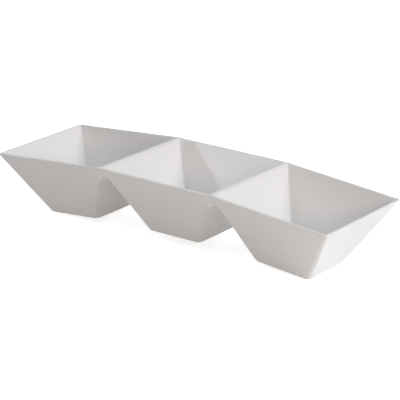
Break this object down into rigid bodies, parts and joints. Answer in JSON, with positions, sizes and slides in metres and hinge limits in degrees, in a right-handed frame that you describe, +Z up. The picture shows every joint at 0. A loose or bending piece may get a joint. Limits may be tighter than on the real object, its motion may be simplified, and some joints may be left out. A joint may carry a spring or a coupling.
{
  "type": "multi-section serving dish",
  "caption": "Row of alike square bowls with tapered walls, joined rim to rim in a low arch, in white glazed ceramic, for serving snacks, dips or side dishes.",
  "frame": {"origin": "on the table, under the middle of the row", "axes": "+X along the row of bowls to the right, +Z up out of the bowls, -Y towards the front"},
  "size_m": [0.3676, 0.122, 0.0696],
  "materials": {
    "white_glaze": "smooth glossy white glaze",
    "bare_clay": "unglazed, ground smooth"
  },
  "bodies": {
    "root": {"left_bowl": "white_glaze", "middle_bowl": "white_glaze", "right_bowl": "white_glaze", "left_rim_bridge": "white_glaze", "right_rim_bridge": "white_glaze", "left_foot_ring": "bare_clay", "middle_foot_ring": "bare_clay", "right_foot_ring": "bare_clay"}
  },
  "joints": []
}
